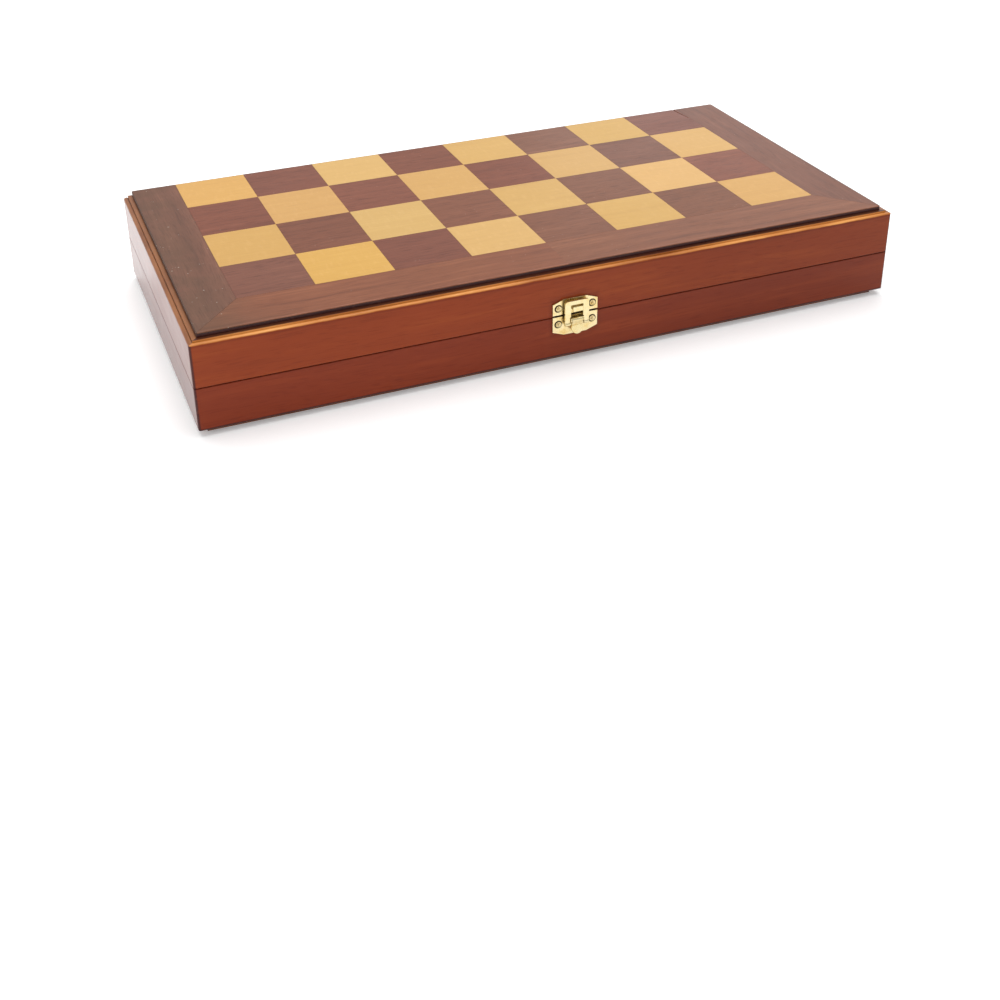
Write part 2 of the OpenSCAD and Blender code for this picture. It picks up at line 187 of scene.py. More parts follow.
def veneer(name, axis, tones, cells=True, streak=0.5, dash=0.5, figure=0.3, seed=0.0, vary=0.06,
           dash_tone=0.55, rough=0.34, grey=0.0, fleck=0.0, dust_and_shade=0.0):
    """Lacquered veneer. tones are dark, middle and light; axis is the direction of the grain."""
    m = Mat(name)
    if cells:
        cell = m.combine(
            m.math("FLOOR", m.math("MULTIPLY", m.math("ADD", m.x, COL0), 1 / SQUARE)),
            m.math("FLOOR", m.math("MULTIPLY", m.math("ADD", m.y, ROW0), 1 / SQUARE)),
            m.math("ADD", m.math("FLOOR", m.math("MULTIPLY", m.z, 1 / 0.03)), seed))
    else:
        cell = m.combine(
            m.math("FLOOR", m.math("MULTIPLY", m.x, 1 / 0.4)), 0.0,
            m.math("ADD", m.math("FLOOR", m.math("MULTIPLY", m.z, 1 / 0.03)), seed))
    w = m.white(cell)
    rnd = m.add("ShaderNodeSeparateColor")
    m.link(w.outputs["Color"], rnd.inputs[0])
    shift = m.vec("MULTIPLY", w.outputs["Color"], (3.1, 3.7, 0.0))
    base = m.vec("ADD", m.co, shift)                 # every square is cut from another place in the sheet
    # slow wander of the grain, so that the lines aren't dead straight
    wander = m.noise(m.vec("MULTIPLY", base, grain_scale(axis, 9, 22)), 1.5, 0.5)
    off = m.math("MULTIPLY", m.math("SUBTRACT", wander, 0.5), 0.011)
    bent = m.vec("ADD", base, m.combine(*[0.0 if a == axis else off for a in "xyz"]))
    cloud = m.noise(m.vec("MULTIPLY", base, grain_scale(axis, 14, 38)), 2.0, 0.55)
    band = m.noise(m.vec("MULTIPLY", bent, grain_scale(axis, 5, 210)), 3.0, 0.6, 0.15)
    line = m.noise(m.vec("MULTIPLY", bent, grain_scale(axis, 26, 900)), 2.0, 0.55)
    fine = m.noise(m.vec("MULTIPLY", bent, grain_scale(axis, 70, 3400)), 1.0, 0.5)
    pores = m.noise(m.vec("MULTIPLY", bent, grain_scale(axis, 95, 1900)), 1.0, 0.4)
    pore = m.ramp(pores, [(0.0, 0), (0.56, 0), (0.66, 1), (1.0, 1)])
    mixed = m.math("ADD", m.math("MULTIPLY", band, 0.30 + 0.25 * streak), m.math("MULTIPLY", line, 0.45 - 0.25 * streak))
    mixed = m.math("ADD", mixed, m.math("MULTIPLY", cloud, 0.25))
    mixed = m.span(mixed, 0.5 - 0.24 / (0.35 + streak), 0.5 + 0.24 / (0.35 + streak), smooth=False)
    colour = m.ramp(mixed, [(0.0, tones[0]), (0.5, tones[1]), (1.0, tones[2])], "EASE")
    colour = m.mix(m.math("MULTIPLY", m.span(fine, 0.3, 0.7, smooth=False), figure), colour,
                   m.hsv(colour, 0.5, 1.04, 0.80))
    colour = m.mix(m.math("MULTIPLY", pore, dash), colour, m.hsv(colour, 0.495, 1.05, dash_tone))
    if fleck:
        # short pale rays that cross the grain a little, as in a figured sheet
        ray = m.noise(m.vec("MULTIPLY", base, grain_scale(axis, 420, 130)), 1.0, 0.5)
        colour = m.mix(m.math("MULTIPLY", m.span(ray, 0.5, 0.8), fleck), colour, m.hsv(colour, 0.5, 0.95, 1.12))
    # one square is a little lighter, redder or duller than the next
    colour = m.hsv(colour, m.span(rnd.outputs[0], 0, 1, 0.5 - 0.10 * vary, 0.5 + 0.10 * vary, False),
                   m.span(rnd.outputs[1], 0, 1, 1 - vary, 1 + vary, False),
                   m.span(rnd.outputs[2], 0, 1, 1 - 1.2 * vary, 1 + 1.2 * vary, False))
    # dust and tiny scuffs in the lacquer
    dust = m.voronoi(m.vec("MULTIPLY", m.co, (330, 330, 330)))
    mote = m.math("MULTIPLY", m.math("LESS_THAN", dust.outputs["Distance"], 0.075),
                  m.math("GREATER_THAN", m.noise(m.vec("MULTIPLY", m.co, (61, 61, 61)), 1.0), 0.60))
    colour = m.mix(m.math("MULTIPLY", mote, 0.35 + grey), colour, (0.55, 0.47, 0.40))
    # stain gathers along the outline of the board; a painted highlight lightens the front edge, where its rounded arris
    # would catch the light
    ax = m.math("ABSOLUTE", m.x)
    rim = m.math("MAXIMUM", m.span(ax, 0.19075, 0.19125, 0.0, 1.0), m.span(m.y, 0.09705, 0.0975, 0.0, 1.0))
    colour = m.mix(m.math("MULTIPLY", rim, 0.62), colour, (0.030, 0.016, 0.013))
    front_edge_highlight = m.math("MULTIPLY", m.span(m.y, -0.09035, -0.0901, 1.0, 0.0), m.span(m.noise(m.vec("MULTIPLY", m.co, (90, 90, 90)), 2.0), 0.3, 0.6, 0.4, 1.0))
    colour = m.mix(m.math("MULTIPLY", front_edge_highlight, 0.5), colour, m.hsv(colour, 0.5, 0.85, 1.75))
    dust_and_shade_film = None
    if dust_and_shade:
        # darker film on the lid's left end, thickest in the front corner: painted shade, and a film of dust with a few
        # pale specks
        left = m.math("MULTIPLY", m.span(m.x, -0.150, -0.186, 0.0, 1.0), m.math("GREATER_THAN", m.z, HALF))
        cornerward = m.span(m.math("ADD", m.x, m.y), -0.215, -0.282, 0.0, 1.0)
        smear = m.span(m.noise(m.vec("MULTIPLY", m.co, (26, 48, 26)), 3.0, 0.6, 0.4), 0.28, 0.66, 0.45, 1.0)
        dust_and_shade_film = m.math("MULTIPLY", m.math("MULTIPLY", m.math("MULTIPLY", m.math("MAXIMUM", left, m.math("MULTIPLY", cornerward, m.math("GREATER_THAN", m.z, HALF))), smear), dust_and_shade), 1.0)
        colour = m.mix(dust_and_shade_film, colour, (0.072, 0.043, 0.021))
        grit = m.voronoi(m.vec("MULTIPLY", m.co, (420, 420, 420)))
        fleck_mask = m.math("MULTIPLY", m.math("LESS_THAN", grit.outputs["Distance"], 0.16), m.span(m.noise(m.vec("MULTIPLY", m.co, (150, 150, 150)), 1.0), 0.58, 0.64))
        colour = m.mix(m.math("MULTIPLY", m.math("MULTIPLY", fleck_mask, dust_and_shade_film), 1.6, clamp=True), colour, (0.50, 0.44, 0.36))
    m.set(Base_Color=colour, IOR=1.29)
    worn = m.noise(m.vec("MULTIPLY", m.co, (34, 34, 34)), 3.0, 0.6)
    if dust_and_shade_film is not None:
        worn = m.math("ADD", worn, m.math("MULTIPLY", dust_and_shade_film, 1.1))
    m.set(Roughness=m.math("ADD", m.math("MULTIPLY", worn, 0.14), m.math("ADD", m.math("MULTIPLY", line, 0.08), rough - 0.11)))
    m.set(Coat_Weight=0.08, Coat_Roughness=0.16, Coat_IOR=1.35)
    relief = m.math("ADD", m.math("MULTIPLY", line, 0.5), m.math("MULTIPLY", pore, -0.6))
    n1 = m.bump(relief, 0.25, 0.00006)
    n2 = m.bump(m.noise(m.vec("MULTIPLY", m.co, (210, 210, 210)), 1.5, 0.5), 0.10, 0.00012, n1)
    m.set(Normal=n2)
    return m.m


def wall_wood(name, axis, lid, tones, ledge_tones, seed):
    """Stained and lacquered solid wood of a wall, with a lighter ledge round the board (rubbed stain and painted
    light), and painted shade in its corners, edges and round the catch.
    """
    m = Mat(name)
    if axis == "y":
        tones = tuple(tuple(c * 0.74 for c in t) for t in tones)      # the end pieces took more stain
    v = m.math("SUBTRACT", 2 * HALF, m.z) if lid else m.math("ADD", m.z, 0.0)   # distance from the board face
    side = m.math("GREATER_THAN", m.y if axis == "x" else m.x, 0.0)
    base = m.vec("ADD", m.co, m.combine(m.math("MULTIPLY", side, 1.7), m.math("MULTIPLY", side, 2.3), seed))
    wander = m.noise(m.vec("MULTIPLY", base, grain_scale(axis, 5, 16)), 2.0, 0.5)
    off = m.math("MULTIPLY", m.math("SUBTRACT", wander, 0.5), 0.016)
    bent = m.vec("ADD", base, m.combine(*[0.0 if a == axis else off for a in "xyz"]))
    cloud = m.noise(m.vec("MULTIPLY", base, grain_scale(axis, 8, 34)), 2.0, 0.55)
    band = m.noise(m.vec("MULTIPLY", bent, grain_scale(axis, 3.2, 110)), 3.0, 0.6, 0.25)
    line = m.noise(m.vec("MULTIPLY", bent, grain_scale(axis, 18, 620)), 2.0, 0.55)
    fine = m.noise(m.vec("MULTIPLY", bent, grain_scale(axis, 60, 2600)), 1.0, 0.5)
    pores = m.noise(m.vec("MULTIPLY", bent, grain_scale(axis, 80, 1700)), 1.0, 0.4)
    pore = m.ramp(pores, [(0.0, 0), (0.58, 0), (0.68, 1), (1.0, 1)])
    mixed = m.math("ADD", m.math("MULTIPLY", band, 0.42), m.math("MULTIPLY", line, 0.20))
    mixed = m.math("ADD", mixed, m.math("MULTIPLY", cloud, 0.38))
    mixed = m.span(mixed, 0.24, 0.76, smooth=False)
    colour = m.ramp(mixed, [(0.0, tones[0]), (0.48, tones[1]), (1.0, tones[2])], "EASE")
    colour = m.mix(m.math("MULTIPLY", m.span(fine, 0.3, 0.7, smooth=False), 0.30), colour, m.hsv(colour, 0.5, 1.03, 0.84))
    colour = m.mix(m.math("MULTIPLY", pore, 0.35), colour, m.hsv(colour, 0.495, 1.05, 0.62))
    if axis == "x":
        # painted light and shade: the long walls are lighter at the left and darken a little towards their right end
        colour = m.hsv(colour, 0.5, 1.0, m.span(m.x, -0.08, 0.12, 1.03, 0.86))
    # the ledge: stain rubbed thin on the strips and over the arris, with a ragged lower edge; its tone is also painted
    # light, lighter on the long walls for the glint they catch than on the ends
    rag = m.math("MULTIPLY", m.math("SUBTRACT", m.noise(m.vec("MULTIPLY", base, grain_scale(axis, 90, 300)), 3.0, 0.6), 0.5), 0.0007)
    low = (0.0037, 0.0042) if lid else (0.0030, 0.0034)
    ledge = m.span(m.math("ADD", v, rag), low[0], low[1], 1.0, 0.0)
    lmix = m.math("ADD", m.math("MULTIPLY", m.noise(m.vec("MULTIPLY", base, grain_scale(axis, 22, 60)), 3.0, 0.6), 0.7),
                  m.math("MULTIPLY", line, 0.3))
    lcol = m.ramp(m.span(lmix, 0.32, 0.68, smooth=False), [(0.0, ledge_tones[0]), (0.5, ledge_tones[1]), (1.0, ledge_tones[2])])
    # painted shade on the inner strip, in the corner beside the board's raised edge: nearly black on the long walls, as
    # the shadow the board's edge casts, less dark on the end walls
    if axis == "x":
        inner_strip_shade = m.math("MULTIPLY", m.span(m.y, -0.09335, -0.0931, 0.0, 1.0), m.span(v, 0.0028, 0.0025, 0.0, 1.0))
        lcol = m.mix(m.math("MULTIPLY", inner_strip_shade, 0.96), lcol, (0.050, 0.011, 0.006))
    else:
        inner_strip_shade = m.math("MULTIPLY", m.span(m.math("ABSOLUTE", m.x), 0.19225, 0.19165, 0.0, 1.0), m.span(v, 0.0028, 0.0025, 0.0, 1.0))
        lcol = m.mix(m.math("MULTIPLY", inner_strip_shade, 0.5), lcol, (0.10, 0.040, 0.018))
    colour = m.mix(ledge, colour, lcol)
    # painted shade in a band just under the ledge's arris; the wall is also darker along the rim
    under_arris_shade = m.math("MULTIPLY", m.span(v, low[1] - 0.0001, low[1] + 0.0003, 0.0, 1.0), m.span(v, low[1] + 0.0004, low[1] + 0.0015, 1.0, 0.0))
    rim = m.span(m.math("ADD", v, m.math("MULTIPLY", rag, 0.5)), 0.0261, 0.0267, 0.0, 1.0)
    colour = m.mix(m.math("MULTIPLY", m.math("MAXIMUM", under_arris_shade, rim), 0.45 if axis == "x" else 0.12), colour, m.hsv(colour, 0.495, 1.05, 0.45))
    if not lid:
        # the base's lower arris, which faces down towards the table: painted shade
        foot_shade = m.math("MULTIPLY", m.span(v, 0.0029, 0.0032, 0.0, 1.0), m.span(m.math("ADD", v, m.math("MULTIPLY", rag, 0.8)), 0.0040, 0.0050, 1.0, 0.0))
        colour = m.mix(m.math("MULTIPLY", foot_shade, 0.80), colour, (0.030, 0.006, 0.006))
    if axis == "x":
        # painted shadow on the wood round the catch plates, and painted shade in the gap between the plates
        dx = m.math("SUBTRACT", m.math("ABSOLUTE", m.math("SUBTRACT", m.x, 0.0017)), 0.0118)
        dz = m.math("SUBTRACT", m.math("ABSOLUTE", m.math("SUBTRACT", m.z, HALF)), 0.0090)
        catch_shadow = m.span(m.math("MAXIMUM", dx, dz), 0.0004, 0.0036, 1.0, 0.0)
        catch_shadow = m.math("MULTIPLY", catch_shadow, m.math("LESS_THAN", m.y, -0.0950))
        colour = m.mix(m.math("MULTIPLY", catch_shadow, 0.34), colour, m.hsv(colour, 0.495, 1.08, 0.42))
        plate_gap_shade = m.math("MULTIPLY", m.span(m.math("ABSOLUTE", m.math("SUBTRACT", m.z, 0.0275)), 0.0012, 0.0016, 1.0, 0.0),
                      m.span(m.math("ABSOLUTE", m.math("SUBTRACT", m.x, 0.0017)), 0.0122, 0.0126, 1.0, 0.0))
        colour = m.mix(m.math("MULTIPLY", m.math("MULTIPLY", plate_gap_shade, m.math("LESS_THAN", m.y, -0.0950)), 0.93), colour, (0.012, 0.006, 0.004))
    # painted dark reflection on the rounded upright edges of the case, rubbed lighter here and there
    ax = m.math("ABSOLUTE", m.x)
    near_end = m.span(ax, 0.1950, 0.1957, 0.0, 1.0)
    near_front = m.span(m.y, -0.0942, -0.0949, 0.0, 1.0)
    near_back = m.span(m.y, 0.0962, 0.0969, 0.0, 1.0)
    corner_dark_reflection = m.math("MULTIPLY", m.math("MULTIPLY", near_end, m.math("MAXIMUM", near_front, near_back)), m.math("SUBTRACT", 1.0, ledge))
    colour = m.mix(m.math("MULTIPLY", corner_dark_reflection, 0.85), colour, (0.036, 0.007, 0.008))
    spots = m.span(m.noise(m.vec("MULTIPLY", m.co, (160, 160, 160)), 3.0, 0.65), 0.60, 0.72)
    colour = m.mix(m.math("MULTIPLY", m.math("MULTIPLY", corner_dark_reflection, spots), 0.35), colour, tones[2])
    m.set(Base_Color=colour, IOR=1.24)
    worn = m.noise(m.vec("MULTIPLY", m.co, (28, 28, 28)), 3.0, 0.6)
    m.set(Roughness=m.math("ADD", m.math("MULTIPLY", worn, 0.14), m.math("ADD", m.math("MULTIPLY", line, 0.08), 0.21)))
    m.set(Coat_Weight=0.35 if axis == "x" else 0.62, Coat_Roughness=0.12, Coat_IOR=1.22)
    relief = m.math("ADD", m.math("MULTIPLY", line, 0.5), m.math("MULTIPLY", pore, -0.5))
    n1 = m.bump(relief, 0.25, 0.00006)
    n2 = m.bump(m.noise(m.vec("MULTIPLY", m.co, (120, 120, 120)), 2.0, 0.5), 0.12, 0.00025, n1)
    m.set(Normal=n2)
    return m.m


def core_wood(name):
    """Stained edge of the board's core: nearly black maroon, with the fine layers of the board."""
    m = Mat(name)
    z = m.math("MULTIPLY", m.z, 1 / (2 * HALF))
    layers = m.noise(m.vec("MULTIPLY", m.co, (14, 14, 2300)), 2.0, 0.6)
    streak = m.noise(m.vec("MULTIPLY", m.co, (40, 40, 700)), 2.0, 0.6)
    chips = m.span(m.noise(m.vec("MULTIPLY", m.co, (260, 260, 420)), 2.0, 0.6), 0.64, 0.76)
    mixed = m.span(m.math("ADD", m.math("MULTIPLY", layers, 0.6), m.math("MULTIPLY", streak, 0.4)), 0.32, 0.68, smooth=False)
    colour = m.ramp(mixed, [(0.0, (0.026, 0.0065, 0.0060)), (0.5, (0.046, 0.0120, 0.0105)), (1.0, (0.078, 0.021, 0.016))])
    colour = m.mix(m.math("MULTIPLY", chips, 0.35), colour, (0.11, 0.035, 0.020))
    colour = m.hsv(colour, 0.5, 1.0, m.span(m.noise(m.combine(m.math("MULTIPLY", m.x, 6.0), m.math("MULTIPLY", m.y, 6.0), z), 1.0), 0.2, 0.8, 0.9, 1.1, False))
    m.set(Base_Color=colour, IOR=1.36, Roughness=m.math("ADD", m.math("MULTIPLY", streak, 0.22), 0.26))
    m.set(Coat_Weight=0.10, Coat_Roughness=0.2)
    m.set(Normal=m.bump(mixed, 0.3, 0.00008, m.bump(chips, 0.3, 0.0001)))
    return m.m


# ------------------------------------------------------------------ brass and felt

def brass(name, tone, axis="x", rough=0.20, seed=0.0, grime_and_shade=0.85, dishes=None):
    m = Mat(name)
    co = m.vec("ADD", m.co, (seed, seed * 0.7, seed * 1.3))
    blot = m.noise(m.vec("MULTIPLY", co, (190, 190, 190)), 3.0, 0.6)
    brush = m.noise(m.vec("MULTIPLY", co, grain_scale(axis, 260, 5200)), 2.0, 0.6)
    scratch = m.voronoi(m.vec("MULTIPLY", co, (900, 2600, 400)), "DISTANCE_TO_EDGE")
    hair = m.span(scratch.outputs["Distance"], 0.0, 0.035, 1.0, 0.0)
    warm = tuple(c * f for c, f in zip(tone, (0.90, 0.78, 0.52)))
    pale = tuple(min(1.0, c * f) for c, f in zip(tone, (1.04, 1.06, 1.18)))
    colour = m.ramp(m.span(blot, 0.3, 0.7, smooth=False), [(0.0, warm), (0.5, tone), (1.0, pale)])
    # darkening in the crevices found by ambient occlusion: tarnish in the hollows, and painted shade that draws the
    # dark lines round the loop and plates
    ao = m.add("ShaderNodeAmbientOcclusion")
    ao.samples = 6
    ao.inputs["Distance"].default_value = 0.0005
    tarnish_and_shade = m.span(ao.outputs["AO"], 0.30, 0.90, 1.0, 0.0)
    tarnish_and_shade = m.math("MULTIPLY", tarnish_and_shade, m.span(m.noise(m.vec("MULTIPLY", co, (700, 700, 700)), 2.0), 0.25, 0.7, 0.55, 1.0))
    colour = m.mix(m.math("MULTIPLY", tarnish_and_shade, grime_and_shade), colour, (0.060, 0.036, 0.012))
    if dishes:
        # painted shade: dark crescents in the dishes round the screw heads, darkest on the upper left of each
        ux = m.math("SUBTRACT", m.math("ABSOLUTE", m.math("SUBTRACT", m.x, 0.0017)), 0.0096)
        left = m.math("SIGN", m.math("SUBTRACT", m.x, 0.0017))
        uz = m.math("SUBTRACT", m.math("ABSOLUTE", m.math("SUBTRACT", m.z, dishes[0])), dishes[1])
        low = m.math("SIGN", m.math("SUBTRACT", m.z, dishes[0]))
        ux, uz = m.math("MULTIPLY", ux, left), m.math("MULTIPLY", uz, low)
        r = m.math("SQRT", m.math("ADD", m.math("MULTIPLY", ux, ux), m.math("MULTIPLY", uz, uz)))
        ox, oz = m.math("SUBTRACT", ux, 0.00034), m.math("ADD", uz, 0.00030)
        r2 = m.math("SQRT", m.math("ADD", m.math("MULTIPLY", ox, ox), m.math("MULTIPLY", oz, oz)))
        dish_shade = m.math("MULTIPLY", m.span(r2, 0.00142, 0.00164, 0.0, 0.96), m.span(r, 0.00212, 0.00232, 1.0, 0.0))
        dish_shade = m.math("MULTIPLY", dish_shade, m.math("LESS_THAN", m.y, -0.0955))
        colour = m.mix(dish_shade, colour, (0.030, 0.018, 0.007))
        tarnish_and_shade = m.math("MAXIMUM", tarnish_and_shade, dish_shade)
    m.set(Base_Color=colour, Metallic=1.0)
    m.set(Roughness=m.math("ADD", m.math("MULTIPLY", blot, 0.10),
                           m.math("ADD", m.math("MULTIPLY", tarnish_and_shade, 0.25), m.math("ADD", m.math("MULTIPLY", hair, 0.12), rough - 0.05))))
    n1 = m.bump(brush, 0.10, 0.00002)
    n2 = m.bump(m.noise(m.vec("MULTIPLY", co, (520, 520, 520)), 1.0), 0.16, 0.00005, n1)
    m.set(Normal=n2)
    return m.m


def felt_material(name, tone, seed):
    m = Mat(name)
    co = m.vec("ADD", m.co, (seed, seed, 0.0))
    cloud = m.noise(m.vec("MULTIPLY", co, (18, 18, 18)), 3.0, 0.6)
    tuft = m.noise(m.vec("MULTIPLY", co, (900, 900, 900)), 3.0, 0.7, 0.6)
    fibre_a = m.noise(m.vec("MULTIPLY", co, (260, 2600, 900)), 2.0, 0.6, 1.2)
    fibre_b = m.noise(m.vec("MULTIPLY", co, (2600, 260, 900)), 2.0, 0.6, 1.2)
    fibre = m.math("MAXIMUM", fibre_a, fibre_b)
    mixed = m.math("ADD", m.math("MULTIPLY", tuft, 0.45), m.math("ADD", m.math("MULTIPLY", fibre, 0.35), m.math("MULTIPLY", cloud, 0.2)))
    dark = tuple(c * 0.55 for c in tone)
    pale = tuple(min(1.0, c * 1.5) for c in tone)
    colour = m.ramp(m.span(mixed, 0.34, 0.70, smooth=False), [(0.0, dark), (0.5, tone), (1.0, pale)])
    lint = m.span(fibre, 0.74, 0.80)
    colour = m.mix(m.math("MULTIPLY", lint, 0.25), colour, (0.30, 0.42, 0.30))
    m.set(Base_Color=colour, Roughness=0.95, IOR=1.4)
    m.bsdf.inputs["Specular IOR Level"].default_value = 0.15
    m.set(Sheen_Weight=0.55, Sheen_Roughness=0.45)
    m.bsdf.inputs["Sheen Tint"].default_value = (0.55, 0.75, 0.58, 1)
    m.set(Normal=m.bump(m.math("ADD", tuft, fibre), 0.7, 0.00035))
    return m.m


# ------------------------------------------------------------------ the finishes

LIGHT = ((0.465, 0.246, 0.069), (0.605, 0.350, 0.102), (0.715, 0.450, 0.148))
DARK = ((0.112, 0.034, 0.017), (0.198, 0.066, 0.034), (0.278, 0.103, 0.056))
BORDER = ((0.120, 0.036, 0.016), (0.215, 0.072, 0.031), (0.300, 0.110, 0.050))
BORDER_SIDE = ((0.095, 0.033, 0.017), (0.175, 0.065, 0.033), (0.250, 0.100, 0.053))
WALL_LID = ((0.162, 0.0225, 0.0044), (0.244, 0.0365, 0.0060), (0.342, 0.066, 0.0105))
WALL_BASE = ((0.136, 0.0160, 0.0040), (0.199, 0.0265, 0.0058), (0.272, 0.0445, 0.0095))
# the long walls' ledge tone is lighter than the ends': rubbed stain, and painted light for the glint the front ledge
# catches
LEDGE_LIT = ((0.38, 0.122, 0.029), (0.60, 0.232, 0.058), (0.77, 0.360, 0.100))
LEDGE_END_SHADED = ((0.150, 0.045, 0.013), (0.250, 0.085, 0.024), (0.340, 0.130, 0.042))

mats = {
    "light": veneer("light_veneer", "x", LIGHT, streak=0.25, dash=0.10, figure=0.22, vary=0.05, dash_tone=0.8, fleck=0.35, seed=3.0),
    "dark": veneer("dark_veneer", "x", DARK, streak=0.55, dash=0.62, figure=0.45, vary=0.055, dash_tone=0.55, seed=11.0),
    "border_x": veneer("border_veneer_front", "x", BORDER, cells=False, streak=0.75, dash=0.40, figure=0.40, vary=0.03, seed=21.0, dust_and_shade=0.5),
    "border_y": veneer("border_veneer_side", "y", BORDER_SIDE, cells=False, streak=0.70, dash=0.45, figure=0.40, vary=0.05, seed=31.0, grey=0.2, dust_and_shade=0.5),
    "wall_lid_x": wall_wood("lid_wall_wood_long", "x", True, WALL_LID, LEDGE_LIT, 0.31),
    "wall_lid_y": wall_wood("lid_wall_wood_end", "y", True, WALL_LID, LEDGE_END_SHADED, 0.77),
    "wall_base_x": wall_wood("base_wall_wood_long", "x", False, WALL_BASE, LEDGE_LIT, 1.13),
    "wall_base_y": wall_wood("base_wall_wood_end", "y", False, WALL_BASE, LEDGE_END_SHADED, 1.59),
    "core": core_wood("board_core_edge"),
    "brass": brass("catch_brass", (0.79, 0.655, 0.355), "x", 0.27, 0.0, dishes=(0.02765, 0.00455)),
    "brass_lever": brass("catch_brass_lever", (0.76, 0.63, 0.335), "z", 0.24, 0.4),
    "brass_screw": brass("screw_brass", (0.66, 0.52, 0.26), "x", 0.26, 0.9, 0.9, dishes=(0.02765, 0.00455)),
    "brass_hinge": brass("hinge_brass", (0.78, 0.61, 0.30), "x", 0.26, 1.7),
    "felt": felt_material("felt_green", (0.018, 0.105, 0.045), 0.0),
}

FINISH = {
    "light_squares": "light", "dark_squares": "dark",
    "front_border": "border_x", "left_border": "border_y", "right_border": "border_y",
    "panel": "core",
}


def finish_of(name):
    half, _, rest = name.partition("_")
    if rest in FINISH:
        return FINISH[rest]
    if rest.endswith("_wall"):
        return f"wall_{half}_{'x' if rest in ('front_wall', 'rear_wall') else 'y'}"
    if name in ("catch_lever", "catch_loop"):
        return "brass_lever"
    if "screws" in name:
        return "brass_screw"
    if name.startswith("hinge"):
        return "brass_hinge"
    return "brass"


def modifier(o, kind, name, **values):
    mod = o.modifiers.new(name, kind)
    for k, v in values.items():
        setattr(mod, k, v)
    return mod


def soften(o, width, segments=2, angle=32.0, planar=True, slide=True):
    """Real edges are never dead sharp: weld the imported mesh, merge its flat faces, round its edges."""
    modifier(o, "WELD", "weld", merge_threshold=2e-6)
    if planar:
        modifier(o, "DECIMATE", "flat_faces", decimate_type="DISSOLVE", angle_limit=math.radians(0.6))
    modifier(o, "BEVEL", "edges", width=width, segments=segments, limit_method="ANGLE", angle_limit=math.radians(angle),
             miter_outer="MITER_ARC", use_clamp_overlap=True, harden_normals=False, loop_slide=slide)
    # clamped corners leave doubled points, which would spoil the triangles of a large notched face
    modifier(o, "WELD", "close_corners", merge_threshold=5e-6)
    modifier(o, "WEIGHTED_NORMAL", "normals", mode="FACE_AREA", weight=80, keep_sharp=False)


EDGE = {"wall": 0.00022, "veneer": 0.00004, "core": 0.0002, "brass": 0.00016, "plate": 0.00026, "screw": 0.00006}

for name, o in nodes.items():
    if "felt" in name:
        continue
    o.data.materials.clear()
    o.data.materials.append(mats[finish_of(name)])
    for poly in o.data.polygons:
        poly.use_smooth = True
    if name.endswith("_wall"):
        soften(o, EDGE["wall"], slide=False)
    elif name.endswith(("_squares", "_border")):
        soften(o, EDGE["veneer"], 1)
    elif name.endswith("_panel"):
        soften(o, EDGE["core"])
    elif "screws" in name or name.endswith("_pin"):
        soften(o, EDGE["screw"])
    elif name in ("catch_base_plate", "catch_hook_plate"):
        soften(o, EDGE["plate"], 3)
    else:
        soften(o, EDGE["brass"], 3)


# ------------------------------------------------------------------ felt linings

def felt_piece(half, body):
    """Glued sheet of felt: soft crowned rim, a surface that is never quite flat."""
    node = f"{half}_felt_lining"
    lo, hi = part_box(node)
    up = 1 if half == "base" else -1
    z_glue = lo.z if up > 0 else hi.z
    thick = hi.z - lo.z
    nx, ny = 150, 70
    bm = bmesh.new()
    rim = 0.0011
    top, bottom = [], []
    for j in range(ny + 1):
        ty = j / ny
        for i in range(nx + 1):
            tx = i / nx
            # rows crowd towards the rim, where the sheet rolls down to the board
            sx, sy = 0.5 - 0.5 * math.cos(math.pi * tx), 0.5 - 0.5 * math.cos(math.pi * ty)
            x, y = lo.x + (hi.x - lo.x) * (0.75 * tx + 0.25 * sx), lo.y + (hi.y - lo.y) * (0.75 * ty + 0.25 * sy)
            d = min(x - lo.x, hi.x - x, y - lo.y, hi.y - y)
            roll = math.sqrt(max(0.0, 1 - (1 - min(d, rim) / rim) ** 2))
            wave = 0.5 + 0.5 * noise.noise(Vector((x * 38, y * 38, 3.0 * up)))
            nap = noise.noise(Vector((x * 420, y * 420, 7.0 * up)))
            h = thick * (0.30 + 0.58 * roll + 0.09 * wave * roll + 0.025 * nap * roll)
            top.append(bm.verts.new((x, y, z_glue + up * min(h, thick))))
            bottom.append(bm.verts.new((x, y, z_glue)))
    bm.verts.ensure_lookup_table()
    idx = lambda i, j: j * (nx + 1) + i
    for j in range(ny):
        for i in range(nx):
            q = [idx(i, j), idx(i + 1, j), idx(i + 1, j + 1), idx(i, j + 1)]
            bm.faces.new([top[k] for k in (q if up > 0 else q[::-1])])
            bm.faces.new([bottom[k] for k in (q[::-1] if up > 0 else q)])
    ring = [idx(i, 0) for i in range(nx + 1)] + [idx(nx, j) for j in range(1, ny + 1)]
    ring += [idx(i, ny) for i in range(nx - 1, -1, -1)] + [idx(0, j) for j in range(ny - 1, 0, -1)]
    for a, b in zip(ring, ring[1:] + ring[:1]):
        f = [bottom[a], bottom[b], top[b], top[a]]
        bm.faces.new(f if up > 0 else f[::-1])
    bmesh.ops.recalc_face_normals(bm, faces=bm.faces)
    me = bpy.data.meshes.new(f"{half}_felt_sheet")
    bm.to_mesh(me)
    bm.free()
    for p in me.polygons:
        p.use_smooth = True
    o = bpy.data.objects.new(f"{half}_felt_sheet", me)
    scene.collection.objects.link(o)
    me.materials.append(mats["felt"])
    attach(o, body)
    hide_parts(node)
    return o


felt_piece("base", "base")
felt_piece("lid", "lid")


# ------------------------------------------------------------------ studio

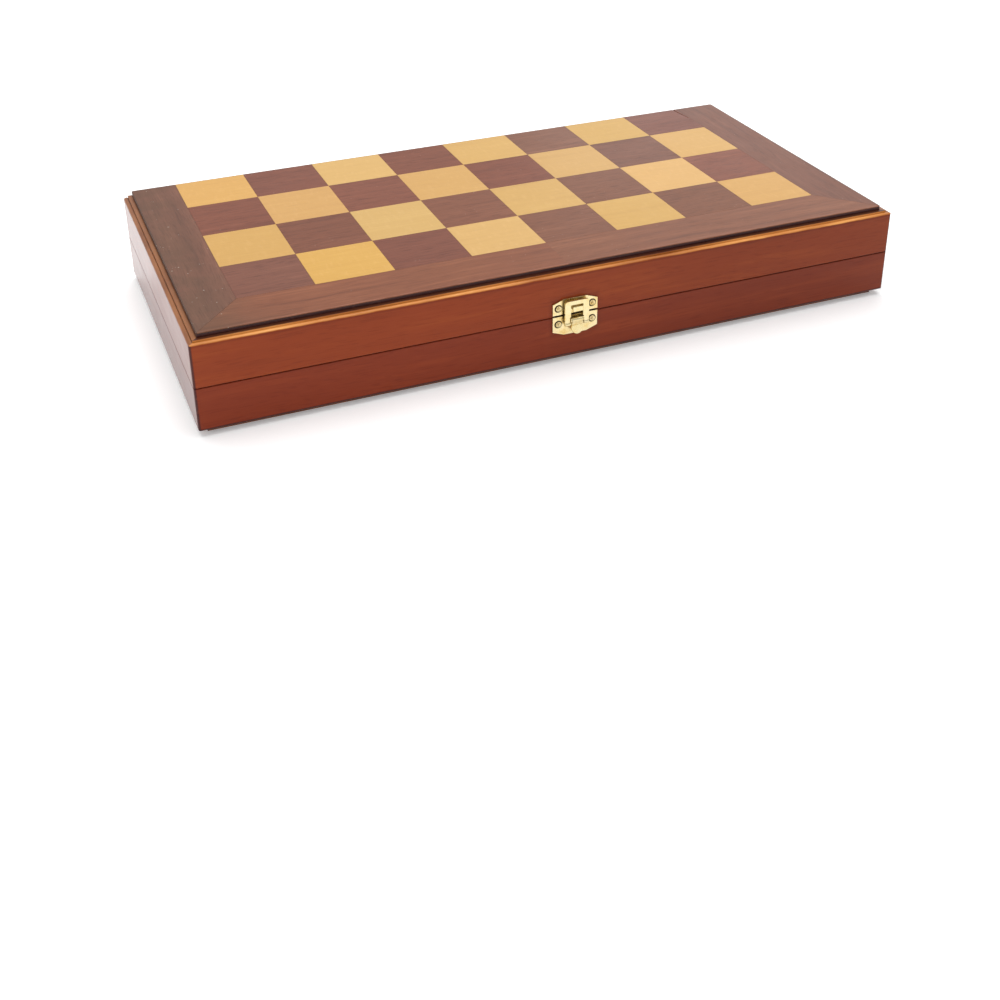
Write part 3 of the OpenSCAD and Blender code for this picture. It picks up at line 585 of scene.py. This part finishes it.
def area(name, place, target, size, size_y, power, colour=(1, 1, 1)):
    data = bpy.data.lights.new(name, "AREA")
    data.shape, data.size, data.size_y = "RECTANGLE", size, size_y
    data.energy, data.color = power, colour
    o = bpy.data.objects.new(name, data)
    scene.collection.objects.link(o)
    o.location = place
    o.rotation_mode = "QUATERNION"
    o.rotation_quaternion = (Vector(target) - Vector(place)).to_track_quat("-Z", "Y")
    return o


world = bpy.data.worlds.new("studio")
scene.world = world
world.use_nodes = True
wt = world.node_tree
back = wt.nodes["Background"]
back.inputs[0].default_value = (0.985, 0.99, 1.0, 1)
# the room behind the camera is a little dimmer than the white set, which gives the brass something to mirror
heading = wt.nodes.new("ShaderNodeTexCoord").outputs["Generated"]
split = wt.nodes.new("ShaderNodeSeparateXYZ")
wt.links.new(heading, split.inputs[0])
dim = wt.nodes.new("ShaderNodeMapRange")
dim.interpolation_type = "SMOOTHSTEP"
dim.inputs["From Min"].default_value, dim.inputs["From Max"].default_value = -0.85, -0.15
dim.inputs["To Min"].default_value, dim.inputs["To Max"].default_value = 0.60, 0.66
wt.links.new(split.outputs[1], dim.inputs["Value"])
wt.links.new(dim.outputs[0], back.inputs[1])

area("top_light", (0.0, 0.4, 2.6), (0, 0, 0), 3.2, 3.2, 52, (1.0, 0.995, 0.985))
area("key_light", (0.6, 1.9, 2.9), (0, 0, 0.03), 1.6, 1.2, 23, (1.0, 0.995, 0.985))
area("back_light", (1.9, 2.3, 0.95), (0.1, 0, 0.05), 1.6, 1.0, 3.0, (1.0, 1.0, 1.0))
area("left_light", (-1.6, -1.0, 0.8), (-0.15, 0, 0.03), 1.2, 0.9, 5, (1.0, 0.99, 0.97))

bm = bmesh.new()
bmesh.ops.create_grid(bm, x_segments=24, y_segments=24, size=4.0)
floor_mesh = bpy.data.meshes.new("floor")
bm.to_mesh(floor_mesh)
bm.free()
floor = bpy.data.objects.new("floor", floor_mesh)
scene.collection.objects.link(floor)
fm = Mat("floor_paper")
speck = fm.noise(fm.vec("MULTIPLY", fm.co, (7, 7, 7)), 3.0, 0.6)
fm.set(Base_Color=fm.ramp(speck, [(0.3, (0.90, 0.90, 0.90)), (0.7, (0.93, 0.93, 0.93))]), Roughness=0.9)
fm.bsdf.inputs["Specular IOR Level"].default_value = 0.1
fm.bsdf.inputs["Emission Color"].default_value = (1, 1, 1, 1)
fm.bsdf.inputs["Emission Strength"].default_value = 0.22      # light table, as under a white cut-out
floor_mesh.materials.append(fm.m)

# ------------------------------------------------------------------ camera

cam_data = bpy.data.cameras.new("photo_camera")
cam_data.sensor_width = 36.0
cam_data.sensor_fit = "AUTO"
cam_data.lens = 50.341
cam_data.shift_y = -0.1952        # the upper picture of the photograph has its own middle, above the frame's
cam_data.clip_start, cam_data.clip_end = 0.01, 50
cam = bpy.data.objects.new("photo_camera", cam_data)
scene.collection.objects.link(cam)
axes = Matrix(((0.925756, 0.179441, -0.332831), (-0.378023, 0.419259, -0.825421), (-0.008572, 0.889957, 0.455963)))
cam.matrix_world = Matrix.Translation((-0.27514, -0.67887, 0.36280)) @ axes.to_4x4()
scene.camera = cam
scene.view_settings.view_transform = "Standard"
scene.view_settings.look = "None"

bpy.context.view_layer.update()
